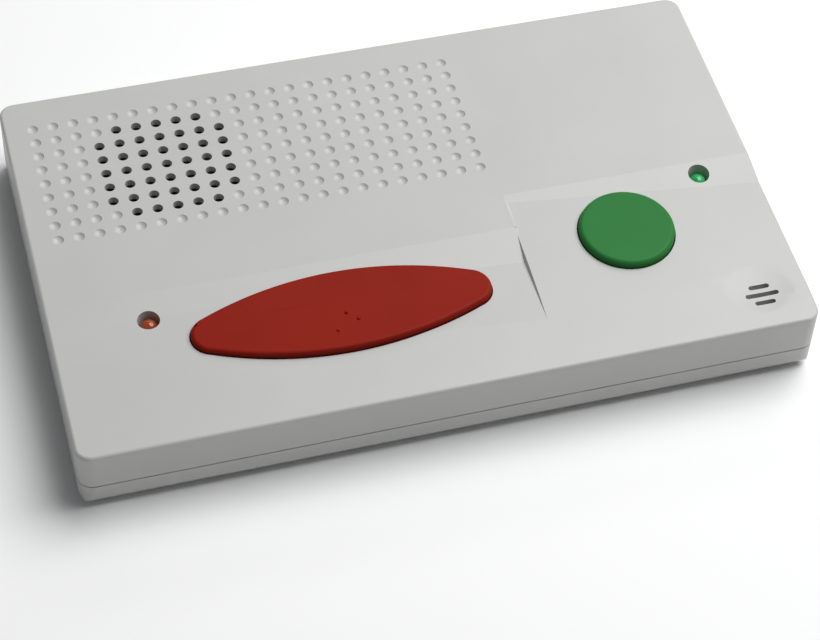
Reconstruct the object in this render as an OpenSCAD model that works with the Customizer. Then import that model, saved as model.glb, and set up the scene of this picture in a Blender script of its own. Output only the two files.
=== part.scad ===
// Medical alert base station: a flat desk unit with a long red help button, a round green cancel button,
// two indicator lights, a speaker grille and a microphone.
// Millimetres. X runs left to right, Y front to back, Z up. The feet stand on Z = 0.

/* [Case] */
// Width of the case, left to right
body_w = 215.4; // [205:0.1:235]
// Depth of the case, front to back
body_d = 133.5; // [130:0.1:150]
// Height of the flat rear part of the top
top_z = 24.7; // [24:0.1:28]
// Height of the top at the front edge
front_edge_z = 22.4; // [21.5:0.1:23]
// Height of the joint between the two shells
seam_z = 9.5; // [9.3:0.1:10]
// Width of the dark groove between the shells
seam_gap = 0.35; // [0.2:0.05:0.6]
// Height of the case's underside above the desk
underside_z = 1.0; // [0.8:0.1:1.6]
// Thickness of the side walls
wall = 2.2; // [2:0.1:2.8]
// Thickness of the top skin
roof_t = 2.2; // [1.8:0.1:2.4]
// Thickness of the bottom skin
floor_t = 2.2; // [1.9:0.1:2.6]
// Corner radius seen from above
corner_r = 4.5; // [4.3:0.1:7]
// Radius that rounds the lower edge of the bottom shell
base_edge_r = 4.0; // [2:0.1:4.2]

/* [Top relief] */
// Where the slope in front of the grille starts
left_slope_back = -15.0; // [-17:0.1:-13]
// Where the slope behind the green button starts
right_slope_back = -2.4; // [-4:0.1:-1]
// Fall of both slopes, as rise over run
slope_fall = 0.148; // [0.12:0.002:0.18]
// Where the two front zones meet
crease_across = 30.3; // [27:0.1:33]
// Height of the right zone at the crease
right_zone_z = 24.29; // [23.9:0.01:24.4]
// Fall of the right zone to the right, as rise over run
right_zone_fall = 0.0156; // [0.01:0.0005:0.02]
// Height of the left zone at its rear left corner
left_zone_z = 23.7; // [23.4:0.01:23.8]
// Fall of the left zone to the right, as rise over run
left_zone_fall = 0.0066; // [0.003:0.0002:0.007]
// Rise of the left zone towards the front, as rise over run
left_zone_rise = 0.0236; // [0.005:0.0002:0.026]
// Where the top starts to roll down to the front edge
roll_start_back = -15.0; // [-20:0.1:-12]

/* [Grille] */
// Columns of dimples
grille_columns = 22; // [12:1:22]
// Rows of dimples
grille_rows = 9; // [9:1:9]
// Distance between columns
grille_pitch_x = 6.0; // [5.8:0.02:6.1]
// Distance between rows
grille_pitch_y = 5.58; // [5.4:0.02:5.8]
// Diameter of a hole that goes right through
grille_hole_d = 3.1; // [2.4:0.05:3.4]
// Diameter of a dimple at the surface
dimple_d = 3.3; // [2.8:0.05:3.6]
// Depth of a dimple
dimple_depth = 0.7; // [0.4:0.05:1]

/* [Help button] */
// Half length of the help button
help_half_l = 43.6; // [41:0.1:45]
// Half width of the help button
help_half_w = 14.1; // [13.4:0.1:14.8]
// Radius at the ends of the help button's outline
help_end_r = 6.3; // [5.5:0.1:7.5]
// Centre of the help button, left to right
help_across = -26.0; // [-28:0.1:-24]
// Centre of the help button, front to back
help_back = -33.9; // [-34.5:0.1:-33.3]
// Height of the help button's top
help_top_z = 25.9; // [25.4:0.1:26.2]
// Travel of both buttons
button_travel = 1.2; // [0.6:0.1:1.4]
// Gap between a button and the opening round it
button_gap = 0.4; // [0.3:0.05:0.6]
// Wall thickness of the button caps
cap_wall = 2.0; // [1.6:0.1:2.4]
// Radius that rounds the rim of a button
cap_edge_r = 1.4; // [0.8:0.1:1.8]
// Depth of the shallow dish in the help button
help_dish = 0.4; // [0.2:0.05:0.5]
// Radius of the small raised dots on the help button
dot_r = 0.55; // [0.4:0.05:0.7]

/* [Cancel button] */
// Radius of the cancel button
cancel_r = 14.2; // [13:0.1:14.8]
// Centre of the cancel button, left to right
cancel_across = 62.0; // [60:0.1:64]
// Centre of the cancel button, front to back
cancel_back = -23.5; // [-25:0.1:-22.5]
// Height of the cancel button's top
cancel_top_z = 26.2; // [25.8:0.1:26.6]

/* [Lights] */
// Diameter of the lights
led_d = 5.0; // [4.6:0.1:5.2]
// Diameter of the holes that the lights sit in
led_hole_d = 6.5; // [6.2:0.1:7]
// Height of the top of a light's dome
led_top_z = 22.7; // [22:0.1:23]
// Centre of the alarm light, left to right
alarm_led_across = -79.7; // [-82:0.1:-78]
// Centre of the alarm light, front to back
alarm_led_back = -24.0; // [-26:0.1:-22]
// Centre of the power light, left to right
power_led_across = 90.3; // [88:0.1:92]
// Centre of the power light, front to back
power_led_back = -6.8; // [-8:0.1:-6]

/* [Microphone] */
// Centre of the microphone, left to right
mic_across = 93.4; // [91:0.1:94]
// Centre of the microphone, front to back
mic_back = -54.6; // [-55:0.1:-52]
// Radius of the shallow dish round the slots
mic_dish_r = 10.4; // [9:0.1:10.6]
// Depth of that dish
mic_dish_depth = 0.75; // [0.4:0.05:0.9]
// Width of a slot
mic_slot_w = 1.5; // [1.2:0.1:1.8]
// Length of the middle slot
mic_slot_l = 10.2; // [8:0.1:11]
// Length of the two outer slots
mic_side_slot_l = 6.3; // [5:0.1:7]
// Distance between slots
mic_slot_pitch = 2.95; // [2.7:0.05:3.1]
// Diameter of the microphone capsule
mic_d = 9.7; // [9:0.1:9.8]
// Height of the microphone capsule
mic_h = 4.5; // [4:0.1:5]

/* [Loudspeaker] */
// Diameter of the speaker
speaker_d = 50.0; // [47:0.1:50.4]
// Depth of the speaker's basket
basket_h = 7.0; // [6:0.1:7.4]
// Diameter of the speaker's magnet
magnet_d = 25.0; // [22:0.5:27]
// Height of the speaker's magnet
magnet_h = 4.6; // [4:0.1:4.8]

/* [Main board] */
// Thickness of the board
board_t = 1.6; // [1.2:0.1:1.6]
// Height of the board's underside
board_z = 8.0; // [7.8:0.1:8.1]
// Where the board's front part ends at the back
board_step_back = -1.0; // [-2:0.1:0]
// Left edge of the board's rear part
board_step_across = 40.0; // [39.5:0.1:41]

/* [Sockets] */
// Width of a telephone socket
socket_w = 13.2; // [12.6:0.1:13.4]
// Height of a telephone socket
socket_h = 11.0; // [10.6:0.1:11.4]
// Depth of a telephone socket
socket_l = 15.0; // [14:0.1:16]
// Left to right place of the telephone socket
phone_socket_across = 58.5; // [58:0.1:59]
// Left to right place of the line socket
line_socket_across = 74.5; // [74:0.1:75]
// Left to right place of the power jack
jack_across = 90.6; // [90:0.1:91]
// Diameter of the power jack's bore
jack_bore_d = 6.2; // [5.8:0.1:6.4]
// Diameter of the power jack's pin
jack_pin_d = 2.0; // [1.6:0.1:2.5]
// Left to right place of the power switch
power_switch_across = 45.6; // [45.2:0.1:46]
// Travel of the power switch's knob
power_switch_travel = 3.5; // [2.5:0.1:4]

/* [Battery] */
// Number of cells
cell_count = 4; // [3:1:4]
// Diameter of a cell
cell_d = 14.2; // [13.8:0.1:14.3]
// Length of a cell
cell_l = 49.5; // [47:0.1:50.5]
// Centre of the battery, left to right
battery_across = -3.0; // [-3.6:0.1:-2.4]
// Centre of the battery, front to back
battery_back = 32.0; // [31:0.1:33]
// Thickness of the battery door
door_t = 1.8; // [1.5:0.1:1.9]

/* [Fasteners] */
// Distance of the case screws from the front, rear and sides
screw_inset = 8.0; // [7.6:0.1:8.6]
// Distance of the two front screws from the middle
front_screw_across = 80.0; // [78:0.5:82]
// Diameter of a case screw
screw_d = 3.0; // [2.6:0.1:3.1]
// Length of a case screw under its head
screw_l = 12.0; // [9:0.5:12.5]
// Diameter of a rubber foot
foot_d = 10.6; // [9:0.1:12]

/* [Hidden] */

// Small sizes that fittings share
eps = 0.01;
fit = 0.1;              // gap left all round a piece that sits in a pocket
running = 0.05;         // radial gap of a piece that slides in a bore
far = 400;              // larger than the whole object
below_floor = -50;

// Places keep their share of the case's width and depth
drawn_w = 215.4;        // width and depth that the places above were taken for
drawn_d = 133.5;
share_w = body_w / drawn_w;
share_d = body_d / drawn_d;
crease_x = crease_across * share_w;
help_x = help_across * share_w;
cancel_x = cancel_across * share_w;
alarm_led_x = alarm_led_across * share_w;
power_led_x = power_led_across * share_w;
mic_x = mic_across * share_w;
phone_socket_x = phone_socket_across * share_w;
line_socket_x = line_socket_across * share_w;
jack_x = jack_across * share_w;
power_switch_x = power_switch_across * share_w;
battery_x = battery_across * share_w;
board_step_x = board_step_across * share_w;
front_screw_x = front_screw_across * share_w;
help_y = help_back * share_d;
cancel_y = cancel_back * share_d;
alarm_led_y = alarm_led_back * share_d;
power_led_y = power_led_back * share_d;
mic_y = mic_back * share_d;
battery_y = battery_back * share_d;
board_step_y = board_step_back * share_d;
left_slope_y = left_slope_back * share_d;
right_slope_y = right_slope_back * share_d;
roll_start_y = roll_start_back * share_d;

// Case
floor_z = underside_z + floor_t;
board_top_z = board_z + board_t;
seam_low_z = seam_z - seam_gap / 2;
seam_high_z = seam_z + seam_gap / 2;
lip_inset = 1.25;
lip_t = 0.85;
lip_h = 1.7;
rear_roof_z = top_z - roof_t;
front_roof_z = front_edge_z - roof_t;
inner_w = body_w - 2 * wall;
inner_d = body_d - 2 * wall;
inner_r = max(corner_r - wall, 0.5);

// Relief of the front half of the top
roll_drop = right_zone_z - front_edge_z;
roll_run = body_d / 2 + roll_start_y;
roll_r = (roll_run * roll_run + roll_drop * roll_drop) / (2 * roll_drop);
left_slope_end = left_slope_y - (top_z - left_zone_z) / slope_fall;
crease_edge = 1.0;      // width of the soft edge along the crease
crease_fall = 0.6;
crease_lean = 0.5;      // lean of the low wall between the zones, as run over rise

function roll_z(y) = right_zone_z - roll_r + sqrt(roll_r * roll_r - pow(min(y - roll_start_y, 0), 2));
function right_z(x, y) = min(right_zone_z - right_zone_fall * (x - crease_x), roll_z(y));

// Buttons
skirt_t = 1.8;
skirt_z = 18.6;
flange_t = 1.3;
flange_out = 1.7;
rest_gap = 0.05;
flange_top_z = skirt_z - rest_gap;
plunger_top_z = 14.6;
switch_h = 3.4;
help_switch_w = 12.0;
help_plunger_r = 3.3;
cancel_switch_w = 6.2;
cancel_plunger_r = 1.75;
plunger_l = 3.1;
help_spring_x = 29.0;
help_spring_r = 4.6;
cancel_spring_r = 6.4;
spring_wire_r = 0.4;
spring_turns = 6;
help_roof_z = help_top_z - help_dish - cap_wall;
cancel_roof_z = cancel_top_z - cap_wall;
dot_places = [[0.6, -1.7], [3.4, -4.6], [-3.2, -7.5]];

// Lights
led_flange_r = 2.9;
led_h = 8.6;
led_base_z = led_top_z - led_h;
lead_r = 0.25;
lead_pitch = 2.54;
shroud_z = led_base_z + 2.2;

// Microphone
mic_surface_z = right_z(mic_x, mic_y);
boot_wall = 1.2;
boot_r = mic_d / 2 + boot_wall;
boot_h = mic_h + 1.4;
mic_roof_z = front_roof_z;

// Grille and loudspeaker
grille_x0 = -99.1 * share_w;
grille_y0 = 54.8 * share_d;
open_first = 4;
open_side = 7;
speaker_x = grille_x0 + (open_first + 2) * grille_pitch_x;
speaker_y = grille_y0 - 4 * grille_pitch_y;
gasket_t = 0.8;
flange_r = speaker_d / 2;
speaker_flange_t = 1.2;
speaker_top_z = rear_roof_z - gasket_t;
speaker_flange_z = speaker_top_z - speaker_flange_t;
basket_r = flange_r - 2.5;
basket_foot_r = magnet_d / 2 + 0.5;
basket_z = speaker_flange_z - basket_h;
pot_plate_t = 1.3;
magnet_z = basket_z - magnet_h;
yoke_t = 1.8;
coil_r = 6.3;
coil_t = 0.4;
gap_out_r = coil_r + coil_t + 0.5;
gasket_in_r = flange_r - 2.6;
ledge_z = speaker_flange_z + 0.3;
ledge_in_r = flange_r - 4.4;
surround_t = 0.3;
surround_roll = 1.1;
cone_t = 0.5;
cone_out_r = ledge_in_r + 0.3 - 2 * surround_roll;
cone_rim = 1.4;
cone_foot_z = basket_z + 3.2;
clip_angles = [60, 180, 300];
clip_r = flange_r + 4.5;
clip_t = 1.2;

// Board
board_front_y = -body_d / 2 + wall + 3.6;
board_side_x = body_w / 2 - wall - 4.5;
board_rear_y = body_d / 2 - wall - 2.5;
board_screw_places = [
  for (p = [[-93, -8], [-93, -46], [0, -8], [46, -56], [97, -36], [45, 22], [97, 34]])
    [p.x * share_w, p.y * share_d]];
board_screw_r = 1.2;
standoff_r = 2.8;

radio_x = 62 * share_w;
radio_y = -48 * share_d;

// Sockets
socket_front_y = body_d / 2 - 0.3;
socket_mouth_w = 9.7;
socket_mouth_h = 6.8;
socket_mouth_l = 11.5;
socket_mouth_z = board_top_z + 2.2;
jack_w = 9.0;
jack_h = 11.0;
jack_l = 14.0;
jack_z = board_top_z + 6.4;
jack_front_y = body_d / 2 - wall - 0.15;
jack_bore_l = 9.5;
jack_access_r = 4.4;
switch_body = [10.4, 7.0, 6.4];
switch_front_y = body_d / 2 - wall - 0.2;
knob_w = 3.0;
knob_h = 2.6;
knob_z = board_top_z + 3.2;

// Battery bay
cell_pitch = cell_d + 0.3;
bay_clear = 0.8;
bay_w = cell_count * cell_pitch + 2 * bay_clear;
bay_l = cell_l + 2 * bay_clear + 1.9;
bay_wall = 1.5;
link_t = 0.3;
tab_y = battery_y - (cell_l + link_t) / 2;
door_lap = 2.5;
door_gap = 0.3;
door_w = bay_w + 2 * door_lap;
door_l = bay_l + 2 * door_lap;
door_ledge_z = underside_z + door_t + 0.1;
cell_z = door_ledge_z + 0.2 + cell_d / 2;
bay_top_z = cell_z + cell_d / 2 + 0.5;
door_front_y = battery_y - door_l / 2;
hinge_z = underside_z + door_t / 2;
hinge_r = door_t / 2;
hinge_pin_r = 0.6;
hinge_pin_l = 1.2;
catch = [10, 1.2, 1.4];
catch_y = battery_y + door_l / 2 - 2.2;
header = [6.0, 5.0, 6.0];
header_pitch = 2.5;
wire_r = 0.6;
battery_header_x = 44.5 * share_w;
battery_header_y = 4.5 * share_d;
speaker_header_x = -58 * share_w;
speaker_header_y = -6 * share_d;

// Fasteners
screw_head_r = 2.6;
screw_head_h = 1.9;
screw_seat_z = underside_z + 4.2;
screw_clear = 0.2;
boss_r = 3.3;
post_r = 4.1;
corner_screw_x = body_w / 2 - screw_inset;
corner_screw_y = body_d / 2 - screw_inset;
screw_places = [
  for (side = [-1, 1]) [side * corner_screw_x, corner_screw_y],
  for (side = [-1, 1]) [side * front_screw_x, -corner_screw_y],
  [24.5 * share_w, -corner_screw_y],
  [35.4 * share_w, corner_screw_y + 1]];
foot_x = body_w / 2 - 19;
foot_y = body_d / 2 - 15;
foot_recess = 0.8;

// ---- Shared shapes ----

// A plate with rounded corners, seen from above
module rounded_plate(w, d, r) {
  square([w - 2 * r, d], center = true);
  square([w, d - 2 * r], center = true);
  for (sx = [-1, 1], sy = [-1, 1])
    translate([sx * (w / 2 - r), sy * (d / 2 - r)])
      circle(r, $fn = 64);
}

// A block with rounded corners
module rounded_block(w, d, r, z0, z1) {
  translate([0, 0, z0])
    linear_extrude(z1 - z0)
      rounded_plate(w, d, r);
}

// The help button's outline is an oval of four arcs: two long sides and two round ends.
// Grown copies keep the same centres.
help_side_r = (help_half_l ^ 2 + help_half_w ^ 2 - 2 * help_half_l * help_end_r)
  / (2 * (help_half_w - help_end_r));
help_end_x = help_half_l - help_end_r;
help_side_y = help_side_r - help_half_w;
help_side_angle = atan2(help_end_x, help_side_y);
end_over = 0.03;        // how far the ends stand proud of the sides, so that the arcs cross cleanly

module oval(grow) {
  side_r = help_side_r + grow;
  end_r = help_end_r + grow;
  join_x = help_end_x + end_r * sin(help_side_angle);
  intersection() {
    translate([0, help_side_y]) circle(side_r, $fn = 720);
    translate([0, -help_side_y]) circle(side_r, $fn = 720);
    square([2 * join_x, far], center = true);
  }
  for (side = [-1, 1])
    translate([side * help_end_x, 0])
      circle(end_r + end_over, $fn = 96);
}

module oval_block(grow, z0, z1) {
  translate([help_x, help_y, z0])
    linear_extrude(z1 - z0)
      oval(grow);
}

// Half the section of a round button whose upper edge is rounded
module cap_section(r, h, edge_r) {
  square([r, h - edge_r]);
  square([r - edge_r, h]);
  intersection() {
    translate([r - edge_r, h - edge_r]) circle(edge_r, $fn = 64);
    translate([0, h - edge_r]) square([r, edge_r]);
  }
}

module ring(r_out, r_in, z0, z1) {
  translate([0, 0, z0])
    difference() {
      cylinder(r = r_out, h = z1 - z0, $fn = 96);
      translate([0, 0, -1]) cylinder(r = r_in, h = z1 - z0 + 2, $fn = 96);
    }
}

module disc(r, z0, z1) {
  translate([0, 0, z0]) cylinder(r = r, h = z1 - z0, $fn = 96);
}

// Everything above a plane that passes through a point and falls away to +X and to -Y
module above_plane(point, fall_x, fall_front) {
  translate(point)
    multmatrix([[1, 0, 0, 0], [0, 1, 0, 0], [-fall_x, fall_front, 1, 0]])
      translate([-far, -far, 0])
        cube([2 * far, 2 * far, far]);
}

// A coil spring standing on z0
module coil_spring(r, z0, z1) {
  translate([0, 0, z0])
    linear_extrude(height = z1 - z0, twist = -360 * spring_turns, slices = spring_turns * 18)
      translate([r, 0])
        circle(spring_wire_r, $fn = 8);
}

// A route whose corners are eased into curves that start a set distance before them
function eased(points, ease) = [
  points[0],
  for (i = [1 : len(points) - 2], t = [0 : 0.25 : 1])
    let (corner = points[i],
      before = corner + ease * unit(points[i - 1] - corner),
      after = corner + ease * unit(points[i + 1] - corner))
      (1 - t) ^ 2 * before + 2 * t * (1 - t) * corner + t ^ 2 * after,
  points[len(points) - 1]];

function unit(v) = v / norm(v);

// A direction square to v, as near as can be to the direction before it
function square_to(v, before) = unit(before - (before * v) * v);

// A round wire along a route, as one tube
module wire(points, r, ease = 1.5, sides = 8) {
  route = eased(points, ease);
  last = len(route) - 1;
  along = [for (i = [0 : last]) unit(route[min(i + 1, last)] - route[max(i - 1, 0)])];
  first_side = square_to(along[0], abs(along[0].z) < 0.9 ? [0, 0, 1] : [1, 0, 0]);
  function side(i) = i == 0 ? first_side : square_to(along[i], side(i - 1));
  rings = [
    for (i = [0 : last])
      let (across = side(i), up = cross(along[i], across))
        for (k = [0 : sides - 1])
          route[i] + r * (cos(360 * k / sides) * across + sin(360 * k / sides) * up)];
  walls = [
    for (i = [0 : last - 1], k = [0 : sides - 1])
      let (a = i * sides + k, b = i * sides + (k + 1) % sides)
        each [[a, a + sides, b], [b, a + sides, b + sides]]];
  start = [for (k = [0 : sides - 1]) k];
  end = [for (k = [sides - 1 : -1 : 0]) last * sides + k];
  polyhedron(rings, concat([start], walls, [end]));
}

// A chip with legs along two sides, standing on the board
module chip(size, legs, pitch) {
  translate([-size.x / 2, -size.y / 2, 0.15])
    cube(size);
  for (i = [0 : legs - 1], side = [-1, 1])
    translate([(i - (legs - 1) / 2) * pitch, side * (size.y / 2 + 0.35), size.z * 0.25])
      cube([pitch * 0.4, 0.8, size.z * 0.5], center = true);
}

module at_board(x, y) {
  translate([x, y, board_top_z])
    children();
}

// A place on the board that keeps its share of the case
module laid_out(x, y) {
  at_board(x * share_w, y * share_d)
    children();
}

// ---- Case ----

module left_zone_cut() {
  low_z = front_roof_z;
  intersection() {
    // The wall up to the right zone leans
    translate([0, left_slope_y, 0])
      rotate([90, 0, 0])
        linear_extrude(far)
          polygon([
            [-far, low_z], [crease_x - crease_lean * (right_zone_z - low_z), low_z],
            [crease_x, right_zone_z], [crease_x, far], [-far, far]]);
    above_plane([0, left_slope_y, top_z], 0, slope_fall);
    above_plane([-body_w / 2, left_slope_end, left_zone_z], left_zone_fall, -left_zone_rise);
  }
}

module right_zone_cut() {
  difference() {
    intersection() {
      translate([crease_x, -far, 0])
        cube([far, far + right_slope_y, far]);
      above_plane([0, right_slope_y, top_z], 0, slope_fall);
      above_plane([crease_x, 0, right_zone_z], right_zone_fall, 0);
    }
    // The plateau keeps a soft edge along the crease, as far as it stands above the right zone
    translate([crease_x, left_slope_y - (top_z - right_zone_z) / slope_fall, 0])
      rotate([90, 0, 180])
        mirror([1, 0, 0])
          linear_extrude(far)
            polygon([[-1, 0], [crease_edge, 0], [crease_edge, top_z - crease_fall], [0, top_z], [-1, top_z]]);
  }
}

// The top rolls down to the front edge along one large arc
module roll_cut() {
  difference() {
    union() {
      translate([crease_x, -far, front_edge_z - 2])
        cube([far, far + roll_start_y, far]);
      // The left zone lies under the arc until it has risen to it
      translate([-far, -far, front_edge_z - 2])
        cube([far + crease_x, far + left_slope_end, far]);
    }
    translate([0, roll_start_y, right_zone_z - roll_r])
      rotate([0, 90, 0])
        cylinder(r = roll_r, h = 3 * far, center = true, $fn = 1800);
  }
}

function is_open(i, j) =
  let (a = i - open_first, b = j - 1)
    a >= 0 && a < open_side && b >= 1 && b <= open_side
    && !((b == 1 || b == open_side) && (a == 0 || a == open_side - 1));

module grille_cut() {
  cap_r = (dimple_d * dimple_d / 4 + dimple_depth * dimple_depth) / (2 * dimple_depth);
  for (i = [1 : grille_columns], j = [1 : grille_rows])
    translate([grille_x0 + (i - 1) * grille_pitch_x, grille_y0 - (j - 1) * grille_pitch_y, 0])
      if (is_open(i, j))
        disc(grille_hole_d / 2, rear_roof_z - 1, top_z + 1);
      else
        translate([0, 0, top_z - dimple_depth + cap_r])
          sphere(cap_r, $fn = 40);
}

module slot_outline(l, w) {
  square([l - w, w], center = true);
  for (end = [-1, 1])
    translate([end * (l - w) / 2, 0])
      circle(w / 2, $fn = 32);
}

module mic_cut() {
  dish_r = (mic_dish_r * mic_dish_r + mic_dish_depth * mic_dish_depth) / (2 * mic_dish_depth);
  translate([mic_x, mic_y, mic_surface_z - mic_dish_depth + dish_r])
    sphere(dish_r, $fn = 180);
  for (i = [-1 : 1])
    translate([mic_x, mic_y - i * mic_slot_pitch, mic_roof_z - 1])
      linear_extrude(roof_t + 4)
        slot_outline(i == 0 ? mic_slot_l : mic_side_slot_l, mic_slot_w);
}

module socket_cuts() {
  side = 0.2;
  for (x = [phone_socket_x, line_socket_x])
    translate([x - socket_w / 2 - side, inner_d / 2 - 1, 0])
      cube([socket_w + 2 * side, wall + 2, board_top_z + socket_h + side]);
  translate([jack_x, inner_d / 2 - 1, jack_z])
    rotate([-90, 0, 0])
      cylinder(r = jack_access_r, h = wall + 2, $fn = 64);
  translate([power_switch_x, body_d / 2, knob_z])
    cube([knob_w + power_switch_travel + 0.8, 2 * wall + 2, knob_h + 0.6], center = true);
}

module top_bosses() {
  for (p = screw_places)
    translate([p.x, p.y, 0])
      disc(boss_r, seam_high_z, (p.y > 0 ? rear_roof_z : front_roof_z) + 0.5);
  for (a = clip_angles)
    translate([speaker_x + clip_r * cos(a), speaker_y + clip_r * sin(a), 0])
      disc(2.6, speaker_flange_z, rear_roof_z + 1);
}

module top_case() {
  color("gainsboro")
    difference() {
      union() {
        difference() {
          rounded_block(body_w, body_d, corner_r, seam_high_z, top_z);
          difference() {
            rounded_block(inner_w, inner_d, inner_r, 0, rear_roof_z);
            translate([-far, -far, front_roof_z])
              cube([2 * far, far + right_slope_y + 3, far]);
          }
          rounded_block(body_w - 2 * lip_inset + fit * 2, body_d - 2 * lip_inset + fit * 2,
            corner_r - lip_inset + fit, 0, seam_low_z + lip_h + 0.2);
        }
        top_bosses();
        // Skirts that guide the buttons
        oval_block(button_gap + skirt_t, skirt_z, front_roof_z + 1);
        translate([cancel_x, cancel_y, 0])
          disc(cancel_r + button_gap + skirt_t, skirt_z, front_roof_z + 1);
        // Light shrouds, microphone cup and speaker ring
        translate([alarm_led_x, alarm_led_y, 0])
          disc(led_hole_d / 2 + 1.4, shroud_z, front_roof_z + 1);
        translate([power_led_x, power_led_y, 0])
          disc(led_hole_d / 2 + 1.4, shroud_z, front_roof_z + 1);
        translate([mic_x, mic_y, 0])
          ring(boot_r + fit + 1.3, boot_r + fit, mic_roof_z - boot_h + 1, mic_roof_z + 0.5);
        translate([speaker_x, speaker_y, 0])
          ring(flange_r + 0.3 + 1.3, flange_r + 0.3, speaker_flange_z, rear_roof_z + 0.5);
      }
      left_zone_cut();
      right_zone_cut();
      roll_cut();
      grille_cut();
      mic_cut();
      socket_cuts();
      oval_block(button_gap, skirt_z - 1, top_z + 2);
      translate([cancel_x, cancel_y, 0])
        disc(cancel_r + button_gap, skirt_z - 1, top_z + 2);
      translate([alarm_led_x, alarm_led_y, 0])
        disc(led_hole_d / 2, shroud_z - 1, top_z + 2);
      translate([power_led_x, power_led_y, 0])
        disc(led_hole_d / 2, shroud_z - 1, top_z + 2);
      for (p = screw_places)
        translate([p.x, p.y, 0])
          disc(screw_d / 2 + running, seam_z - 1, screw_seat_z + screw_l + 0.5);
      for (a = clip_angles)
        translate([speaker_x + clip_r * cos(a), speaker_y + clip_r * sin(a), 0])
          disc(1.05, speaker_flange_z - 1, rear_roof_z - 0.2);
    }
}

// The bottom shell's outline seen from one side, with its lower corners rounded
module tub_outline(w) {
  over = 0.02;
  translate([-w / 2 - over, underside_z + base_edge_r])
    square([w + 2 * over, far]);
  translate([base_edge_r - w / 2, underside_z])
    square([w - 2 * base_edge_r, far]);
  for (side = [-1, 1])
    translate([side * (w / 2 + over - base_edge_r), underside_z + base_edge_r])
      circle(base_edge_r, $fn = 96);
}

module bottom_outside() {
  intersection() {
    rounded_block(body_w, body_d, corner_r, 0, seam_low_z);
    rotate([90, 0, 0])
      linear_extrude(far, center = true)
        tub_outline(body_w);
    rotate([90, 0, 90])
      linear_extrude(far, center = true)
        tub_outline(body_d);
  }
}

module lip() {
  z1 = seam_low_z + lip_h;
  difference() {
    rounded_block(body_w - 2 * lip_inset, body_d - 2 * lip_inset, corner_r - lip_inset, floor_z, z1);
    rounded_block(body_w - 2 * (lip_inset + lip_t), body_d - 2 * (lip_inset + lip_t),
      corner_r - lip_inset - lip_t, 0, z1 + 1);
    // The lip gives way to the sockets and screw bosses
    for (x = [phone_socket_x, line_socket_x])
      translate([x, body_d / 2, z1])
        cube([socket_w + 0.8, 4 * wall, 2 * (z1 - seam_low_z)], center = true);
    translate([jack_x, body_d / 2, z1])
      cube([jack_w + 1, 4 * wall, 2 * (z1 - seam_low_z)], center = true);
  }
}

module battery_box(w, l, z0, z1) {
  translate([battery_x - w / 2, battery_y - l / 2, z0])
    cube([w, l, z1 - z0]);
}

module door_edge_rod(r, over) {
  translate([battery_x, door_front_y, hinge_z])
    rotate([0, 90, 0])
      cylinder(r = r, h = door_w + 2 * over, center = true, $fn = 64);
}

module bottom_case() {
  color("gainsboro")
    difference() {
      union() {
        difference() {
          bottom_outside();
          rounded_block(inner_w, inner_d, inner_r, floor_z, far);
        }
        lip();
        for (p = screw_places)
          translate([p.x, p.y, 0])
            disc(post_r, underside_z + 0.5, seam_low_z);
        for (p = board_screw_places)
          translate([p.x, p.y, 0])
            disc(standoff_r, floor_z - 0.5, board_z);
        battery_box(bay_w + 2 * bay_wall, bay_l + 2 * bay_wall, floor_z - 0.5, bay_top_z + bay_wall);
        // Ledge under the door's edge
        battery_box(door_w + 2.4, door_l + 2.4, floor_z - 0.5, door_ledge_z + 1.4);
      }
      for (p = screw_places)
        translate([p.x, p.y, 0]) {
          disc(screw_head_r + 0.4, below_floor, screw_seat_z);
          disc(screw_d / 2 + screw_clear, 0, seam_z + 1);
        }
      for (p = board_screw_places)
        translate([p.x, p.y, 0])
          disc(board_screw_r + running, board_z - 4, board_z + 1);
      battery_box(bay_w, bay_l, below_floor, bay_top_z);
      battery_box(door_w + 2 * door_gap, door_l + 2 * door_gap, below_floor, door_ledge_z);
      // Room for the door's front edge to turn, and holes for its pins
      door_edge_rod(hinge_r + door_gap, door_gap);
      door_edge_rod(hinge_pin_r + running, door_gap + hinge_pin_l + 0.2);
      // Slot for the door's catch and a way out for the battery leads
      translate([battery_x - catch.x / 2 - 0.4, catch_y - 0.4, door_ledge_z - 1])
        cube([catch.x + 0.8, catch.y + 0.8, 2.4]);
      translate([battery_x + bay_w / 2 - 1, battery_y - bay_l / 2 - 0.1, cell_z + 0.5])
        cube([bay_wall + 2, 2, 3.8]);
      for (sx = [-1, 1], sy = [-1, 1])
        translate([sx * foot_x, sy * foot_y, 0])
          disc(foot_d / 2 + fit, below_floor, underside_z + foot_recess);
    }
}

module rubber_feet() {
  color("dimgray")
    for (sx = [-1, 1], sy = [-1, 1])
      translate([sx * foot_x, sy * foot_y, 0])
        disc(foot_d / 2, 0, underside_z + foot_recess);
}

module case_screws() {
  color("silver")
    for (p = screw_places)
      translate([p.x, p.y, 0])
        difference() {
          union() {
            disc(screw_head_r, screw_seat_z - screw_head_h, screw_seat_z);
            disc(screw_d / 2, screw_seat_z - eps, screw_seat_z + screw_l);
          }
          // Cross recess
          for (a = [0, 90])
            rotate([0, 0, a])
              translate([-1.6, -0.4, screw_seat_z - screw_head_h - 1])
                cube([3.2, 0.8, 2.1]);
        }
}

module battery_door() {
  color("gainsboro")
    difference() {
      union() {
        battery_box(door_w, door_l, underside_z, underside_z + door_t);
        door_edge_rod(hinge_r, 0);
        door_edge_rod(hinge_pin_r, door_gap + hinge_pin_l);
        // Catch at the rear edge
        translate([battery_x - catch.x / 2, catch_y, underside_z + door_t - 0.5])
          cube(catch);
      }
      // Finger scallop
      translate([battery_x, battery_y + door_l / 2 - 5, underside_z - 8.9])
        sphere(10, $fn = 120);
    }
}

// ---- Buttons ----

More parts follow.
